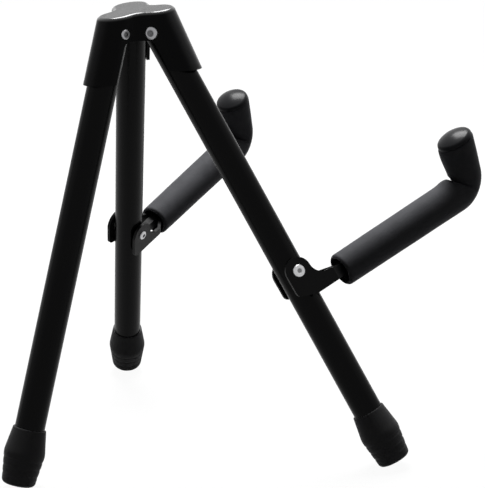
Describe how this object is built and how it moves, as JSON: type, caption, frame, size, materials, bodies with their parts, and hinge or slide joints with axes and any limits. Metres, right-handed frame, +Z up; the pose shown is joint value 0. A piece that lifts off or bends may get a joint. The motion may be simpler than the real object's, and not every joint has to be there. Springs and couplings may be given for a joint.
{
  "type": "guitar stand",
  "caption": "Folding black guitar stand: tripod of round legs under a moulded three-lobed head, with hooked foam-padded cradle arms on the front legs.",
  "frame": {"origin": "centre of the footprint on the floor, midway between the extremes in X and Y", "axes": "+Z up, -Y the front, where the cradle arms reach, +X to the right seen from the front"},
  "size_m": [0.2998, 0.3078, 0.2916],
  "materials": {
    "moulded_head": "gloss",
    "black_tube": "gloss",
    "foot_rubber": "matte",
    "rivet": "satin",
    "bush": "matte",
    "black_plate": "satin",
    "steel_rod": "satin",
    "foam": "matte",
    "cap_rubber": "satin"
  },
  "bodies": {
    "head": {"head": "moulded_head", "pivot_rivets": "rivet", "pivot_bushes": "bush"},
    "rear_leg": {"rear_leg": "black_tube", "rear_foot": "foot_rubber"},
    "left_leg": {"left_leg": "black_tube", "left_foot": "foot_rubber"},
    "right_leg": {"right_leg": "black_tube", "right_foot": "foot_rubber"},
    "left_arm": {"left_outer_plate": "black_plate", "left_inner_plate": "black_plate", "left_arm_rivet": "rivet", "left_arm_bush": "bush", "left_rod": "steel_rod", "left_sleeve": "foam", "left_cap": "cap_rubber"},
    "right_arm": {"right_outer_plate": "black_plate", "right_inner_plate": "black_plate", "right_arm_rivet": "rivet", "right_arm_bush": "bush", "right_rod": "steel_rod", "right_sleeve": "foam", "right_cap": "cap_rubber"}
  },
  "joints": [
    {"name": "rear_leg_fold", "type": "hinge", "parent": "head", "child": "rear_leg", "pos_m": [0, 0.05324, 0.2765], "axis": [-1, 0, 0], "range_deg": [0, 18]},
    {"name": "left_leg_fold", "type": "hinge", "parent": "head", "child": "left_leg", "pos_m": [-0.01364, 0.02888, 0.2765], "axis": [0.5225, -0.8526, 0], "range_deg": [0, 27.5]},
    {"name": "right_leg_fold", "type": "hinge", "parent": "head", "child": "right_leg", "pos_m": [0.01364, 0.02888, 0.2765], "axis": [0.5225, 0.8526, 0], "range_deg": [0, 27.5]},
    {"name": "left_arm_fold", "type": "hinge", "parent": "left_leg", "child": "left_arm", "pos_m": [-0.08476, -0.0147, 0.12414], "axis": [-0.8935, 0.3046, 0.33], "range_deg": [0, 70]},
    {"name": "right_arm_fold", "type": "hinge", "parent": "right_leg", "child": "right_arm", "pos_m": [0.08476, -0.0147, 0.12414], "axis": [-0.8935, -0.3046, -0.33], "range_deg": [0, 70]}
  ]
}
